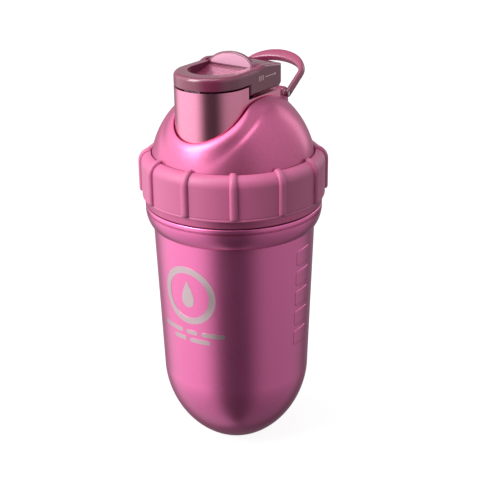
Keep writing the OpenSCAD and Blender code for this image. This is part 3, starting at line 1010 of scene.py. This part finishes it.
def makeCap():
    c, s, floor, rear = cap, spout, cap["rearBottom"], spout["rearY"]
    front = drawn("capSkin", *slab(lambda g: spoutOutline(g, 6.0, 0.06), c["frontBottom"], c["frontTop"],
                                   c["frontRound"], 0.35, 7))
    rise = [c["riseEnd"] - i * 0.8 for i in range(16)] + [c["stepY"]]
    side = roundedCorners([(c["stepY"], floor, 0.3), (rear - 1.5, floor, 0.6), (rear, floor + 1.5, 0.6),
                           (rear, c["deckRear"], 1.0)] + [(y, deckTop(y), 0) for y in rise])
    # stations across, drawn in at both sides to round the block's long edges
    stations = [(s["halfWidth"] - short, inset) for short, inset in quarter(c["sideRound"], 6)]
    spans = [(-x, e) for x, e in stations] + [(x, 0.0) for x in (-9, 0, 9)] + stations
    spans.sort(key=lambda item: item[0])
    middle, crownStart = Vector((6.2, 201.5)), c["deckRear"] - 0.5
    points = []
    for x, inset in spans:
        for y, z in side:
            crown = c["crown"] * (x / s["halfWidth"]) ** 2 if z > crownStart else 0
            pull = Vector((y, z)) - middle
            inward, down = (inset * max(-1, min(1, u)) for u in (pull.x / 6, pull.y / 4))
            points.append((x, y - inward, z - crown - down))
    block = points, stacked(len(spans), len(side))
    pocket = arc(0, c["pocketY"], c["pocketRadius"], 180, 360, 48)
    bend = len(pocket)
    pocket += [(c["pocketRadius"], c["rampStart"]), (c["pocketRadius"], c["pocketEnd"]),
               (-c["pocketRadius"], c["pocketEnd"]), (-c["pocketRadius"], c["rampStart"])]
    count = len(pocket)
    hollow = [(x, y, c["trackFloor"] if y > c["rampStart"] else c["pocketFloor"]) for x, y in pocket]
    hollow += [(x, y, 220) for x, y in pocket]
    floors = [tuple(range(bend + 1)) + (bend + 3,), tuple(range(bend, bend + 4)),
              tuple(range(count, 2 * count))]
    shaped(front, [
        join("rear", block),
        cut("pocket", (hollow, gridFaces(2, count, closedRows=False) + floors)),
        cut("track", boxAt(-c["trackHalf"], c["pocketEnd"] - 0.1, c["trackFloor"], 2 * c["trackHalf"],
                           c["trackEnd"] - c["pocketEnd"] + 0.1, 10)),
        cut("lugSlot", boxAt(y=hingeAxis.x - 3.4, z=floor - 1, **c["lugSlot"])),
        cut("mouthRoom", drum(0, s["mouthY"], floor - 1, c["mouthRoom"], c["frontBottom"] - floor + 1)),
        cut("hookRoom", boxAt(**c["hookRoom"])),
        cut("keelSlot", boxAt(**c["keelSlot"])),
        cut("keelWell", boxAt(**c["keelWell"])),
        cut("seat", slab(lambda g: spoutOutline(g - c["seatInset"], c["seatEnd"], 0.06),
                         c["frontBottom"] - 1, c["frontBottom"] + c["seatDepth"]))])
    eased(front, c["edgeRound"], 40)
    finishPiece(front, "cap", capMaroon, ["flip_cap"], 35)
    flatShine(front)


makeCap()
print("cap made")

# Thumb slide: a disc leaning back, its pale face, and the deck plate behind it

slide = {"discHalf": 14.2, "discHeight": 8.5, "discThick": 2.6, "discY": -1.2, "tilt": 8.0,
         "discRound": 0.55, "faceInset": 1.05, "plateEnd": 13.0, "plateFront": -0.6, "plateHalf": 15.0,
         "plateRound": 0.8, "keel": {"x": -4.8, "y": -1.0, "z": 202.47, "dx": 9.6, "dy": 5.2, "dz": 3.35}}


def discPoint(along, up, out):
    # a point on the leaning disc: along is X, up is from the track floor, out is towards the front
    t = radians(slide["tilt"])
    y, z = -out, up
    return (along, slide["discY"] + y * cos(t) + z * sin(t), cap["trackFloor"] + z * cos(t) - y * sin(t))


def discOutline(inset, low):
    # an oval cut off level at its foot
    wide, high = slide["discHalf"] - inset, slide["discHeight"] - inset
    centre = slideHigh.z - cap["trackFloor"] - slide["discHeight"]
    start = asin(max(-1, min(1, (low - centre) / high)))
    turns = [start + (pi - 2 * start) * i / 40 for i in range(41)]
    return [(wide * cos(t), centre + high * sin(t)) for t in turns]


def makeDisc():
    s, c, points = slide, cap, []
    rim = quarter(s["discRound"])
    rings = [(inset, -back) for inset, back in rim]
    rings += [(inset, back - s["discThick"]) for back, inset in rim]
    for inset, out in rings:
        outline = discOutline(inset, 0.15)
        points += [discPoint(x, z, out) for x, z in outline]
    # the deck plate, a little crowned, with its rear edge rounded
    low, end, front = c["trackFloor"] + 0.1, s["plateEnd"], s["plateFront"]
    section = roundedCorners([(front, low, 0), (end, low, 0.2), (end, deckTop(end), 0.5),
                              (c["riseEnd"], c["riseTop"], 0), (1.0, deckTop(1.0), 0),
                              (front, deckTop(front), 0)], steps=4)
    half, edgeRound = s["plateHalf"], s["plateRound"]
    right = [5, 10, half - edgeRound, half - 0.3, half]
    stations, plate = [-x for x in right[::-1]] + [0] + right, []
    for x in stations:
        edge = max(0, abs(x) - half + edgeRound) / edgeRound
        sink = c["crown"] * (x / spout["halfWidth"]) ** 2 + 0.6 * (1 - sqrt(max(0, 1 - edge ** 2)))
        plate += [(x, y, z - (sink if z > low + 0.7 else 0)) for y, z in section]
    skins = [(points, stacked(len(rings), len(outline))), (plate, stacked(len(stations), len(section))),
             boxAt(**s["keel"])]
    addPiece("slideSkin", *gathered(skins), "slide", "slide_pink", rampMaroon, ["thumb_slide"], 35)


def makeDiscFace():
    s, points = slide, []
    steps = [(s["faceInset"], -0.3), (s["faceInset"], 0.03), (s["faceInset"] + 0.1, 0.12)]
    for inset, out in steps:
        outline = discOutline(inset, 0.8)
        points += [discPoint(x, z, out) for x, z in outline]
    addPiece("discFace", points, stacked(len(steps), len(outline)), "slide", "slide_pink", slideFace,
             smooth=35)


makeDisc()
makeDiscFace()
print("thumb slide made")

# Arrow on the cap's side, showing the way the slide goes

arrowMark = {"start": -3.0, "shaftStart": 2.2, "end": 11.8, "height": 202.0, "thick": 0.42, "head": 1.5,
             "headHalf": 0.9, "barWidth": 0.7, "barHalf": 1.3, "barPitch": 1.5, "proud": 0.05}


def makeArrow():
    m, x, z = arrowMark, spout["halfWidth"], arrowMark["height"]

    def strip(outline):
        points = [(h, y, up) for h in (x - 0.2, x + m["proud"]) for y, up in outline]
        return points, stacked(2, len(outline))

    def bar(y0, y1, half, start, end):
        # a level bar whose two ends have their own corner radius
        return roundedCorners([(y0, z - half, start), (y1, z - half, end), (y1, z + half, end),
                               (y0, z + half, start)], steps=3)
    neck = m["end"] - m["head"]
    strips = [strip(bar(m["shaftStart"], neck, m["thick"] / 2, 0.15, 0)),
              strip([(neck, z - m["headHalf"]), (m["end"], z), (neck, z + m["headHalf"])])]
    for i in range(3):
        y = m["start"] + i * m["barPitch"]
        strips.append(strip(bar(y, y + m["barWidth"], m["barHalf"], 0.2, 0.2)))
    addPiece("arrowPrint", *gathered(strips), "cap", "cap_maroon", markPale)


makeArrow()

# Carry loop

loop = {"halfWidth": 18.9, "length": 27.4, "lean": 34.0, "thick": 4.0, "leg": 2.4, "bar": 5.8,
        "outerCorner": 13.7, "innerCorner": 8.1, "edgeRound": 1.15, "pinBore": 1.36}


def makeLoop():
    m = loop
    wide, inner, eye = m["halfWidth"], m["halfWidth"] - m["leg"], m["thick"] / 2
    outStart, inStart = m["length"] - m["outerCorner"], m["length"] - m["bar"] - m["innerCorner"]
    turns = [pi * i / 48 for i in range(49)]
    outside = [(wide * cos(t), outStart + m["outerCorner"] * sin(t)) for t in turns]
    inside = [(inner * cos(t), inStart + m["innerCorner"] * sin(t)) for t in turns]
    # the round eye at the foot of a leg, then the leg
    right = []
    for i in range(1, 9):
        y = -eye * cos(pi / 2 * i / 8)
        right.append(((wide, y), (inner, y), sqrt(max(0.02, eye ** 2 - y ** 2))))
    for k in range(1, 6):
        right.append(((wide, outStart * k / 6), (inner, inStart * k / 6), eye))
    middle = [(o, i, eye) for o, i in zip(outside, inside)]
    left = [((-o[0], o[1]), (-i[0], i[1]), h) for o, i, h in right[::-1]]
    # a rounded box section at each station
    lean, points = radians(m["lean"]), []
    unit = []
    for cx, cy, a0 in ((1, 1, 0), (-1, 1, 90), (-1, -1, 180), (1, -1, 270)):
        unit += [(cx, cy, radians(a0 + 90 * k / 6)) for k in range(7)]
    for o, i, half in right + middle + left:
        centre = Vector(((o[0] + i[0]) / 2, (o[1] + i[1]) / 2))
        across = Vector((o[0] - i[0], o[1] - i[1]))
        reach, across = across.length / 2, across.normalized()
        r = min(m["edgeRound"], reach * 0.9, half * 0.9)
        for cx, cy, a in unit:
            u = cx * (reach - r) + r * cos(a)
            v = cy * (half - r) + r * sin(a)
            x, y = centre + across * u
            points.append((x, loopAxis.x + y * cos(lean) - v * sin(lean),
                           loopAxis.y + y * sin(lean) + v * cos(lean)))
    piece = drawn("loopSkin", points, stacked(len(right) + len(middle) + len(left), len(unit)))
    shaped(piece, [cut("pinBore", rodX(*loopAxis, m["pinBore"], m["halfWidth"] + 1))])
    finishPiece(piece, "loop", loopMaroon, ["carry_loop"], 45)


makeLoop()
print("loop made")

# The parts that keep their own shape

ownFinish = {
    "inner_cup": cupWhite, "neck_ring": silicone, "lid_gasket": silicone, "spout_seal": silicone,
    "spout_screws": screwSteel, "cap_base": plateMaroon, "cap_screws": screwSteel, "cap_plug": silicone,
    "cap_hinge_pin": pinSteel, "latch_hook": springSteel, "latch_spring": springSteel,
    "loop_washers": nylon, "loop_pin": pinSteel,
}
for name, material in ownFinish.items():
    nodes[name].data.materials.clear()
    nodes[name].data.materials.append(material)
print("inner parts finished")

# Floor, lights and surroundings


def makeFloor():
    side = studio["floorHalf"]
    corners = [(-side, -side, 0), (side, -side, 0), (side, side, 0), (-side, side, 0)]
    mesh = meshOf("floor", corners, [(0, 1, 2, 3)])
    floor = linked("floor", mesh)
    material = bpy.data.materials.new("paleFloor")
    tree = freshTree(material)
    lit = addNode(tree, "BsdfDiffuse", {"Color": (0.16, 0.16, 0.16, 1)})
    glow = addNode(tree, "Emission", {"Color": (1, 1, 1, 1), "Strength": studio["floorTone"]})
    both = addNode(tree, "AddShader", {0: lit.outputs[0], 1: glow.outputs[0]})
    addNode(tree, "OutputMaterial", {0: both.outputs[0]})
    mesh.materials.append(material)
    floor.visible_glossy = False
    floor.visible_diffuse = False
    floor.visible_shadow = False
    floor.visible_transmission = False


sky = {
    "dim": 0.06,
    "key": (-84.0, 2.5, 0.34),
    "fill": (78.0, 0.95, 0.32),
    "back": (180.0, 0.5, 0.6),
    "cameraTone": 0.96,
}


def makeSky():
    # soft bands of light round the bottle, brightest on the left of the view
    world = bpy.data.worlds.new("studio")
    bpy.context.scene.world = world
    tree = freshTree(world)
    parts = addNode(tree, "SeparateXYZ", {0: addNode(tree, "TexCoord", {}).outputs["Generated"]}).outputs
    flat = addNode(tree, "CombineXYZ", {0: parts[0], 1: parts[1]})
    unit = addNode(tree, "VectorMath", {0: flat.outputs[0]}, operation="NORMALIZE")
    total = sky["dim"]
    for name in ("key", "fill", "back"):
        turn, strength, spread = sky[name]
        toward = tuple(directionOf(studio["azimuth"] + turn, 0))
        dot = addNode(tree, "VectorMath", {0: unit.outputs[0], 1: toward}, operation="DOT_PRODUCT")
        reach = {"Value": dot.outputs["Value"], "From Min": spread, "To Max": strength}
        lobe = addNode(tree, "MapRange", reach, interpolation_type="SMOOTHERSTEP")
        total = mathNode(tree, "ADD", lobe.outputs[0], total)
    upward = {"Value": parts[2], "From Min": -1.0, "From Max": 0.3, "To Min": 0.25}
    up = addNode(tree, "MapRange", upward, interpolation_type="SMOOTHSTEP")
    soft = addNode(tree, "Background", {"Strength": times(tree, total, up.outputs[0])})
    plain = addNode(tree, "Background", {"Color": (1, 1, 1, 1), "Strength": sky["cameraTone"]})
    seen = addNode(tree, "LightPath", {}).outputs["Is Camera Ray"]
    mix = addNode(tree, "MixShader", {0: seen, 1: soft.outputs[0], 2: plain.outputs[0]})
    addNode(tree, "OutputWorld", {0: mix.outputs[0]})


softboxes = {
    "keyBox": {"turn": -62.0, "lift": 38.0, "size": (420, 620), "power": 7.6, "tint": (1, 0.98, 0.97)},
    "topBox": {"turn": -20.0, "lift": 76.0, "size": (500, 500), "power": 2.4, "tint": (1, 1, 1)},
    "sideBox": {"turn": 128.0, "lift": 18.0, "size": (260, 600), "power": 0.9, "tint": (1, 0.97, 0.98)},
}
boxDistance, boxAim = 900.0, 120.0


def makeLights():
    for name, box in softboxes.items():
        data = bpy.data.lights.new(name, "AREA")
        data.shape = "RECTANGLE"
        data.size, data.size_y = box["size"][0] * mm, box["size"][1] * mm
        data.energy = box["power"]
        data.color = box["tint"]
        light = linked(name, data)
        toward = directionOf(studio["azimuth"] + box["turn"], box["lift"])
        light.location = (Vector((0, 0, boxAim)) + toward * boxDistance) * mm
        light.rotation_mode = "QUATERNION"
        light.rotation_quaternion = toward.to_track_quat("Z", "Y")
        light.visible_camera = False


makeFloor()
makeSky()
makeLights()
bpy.context.scene.view_settings.view_transform = "Standard"
print("studio lit")
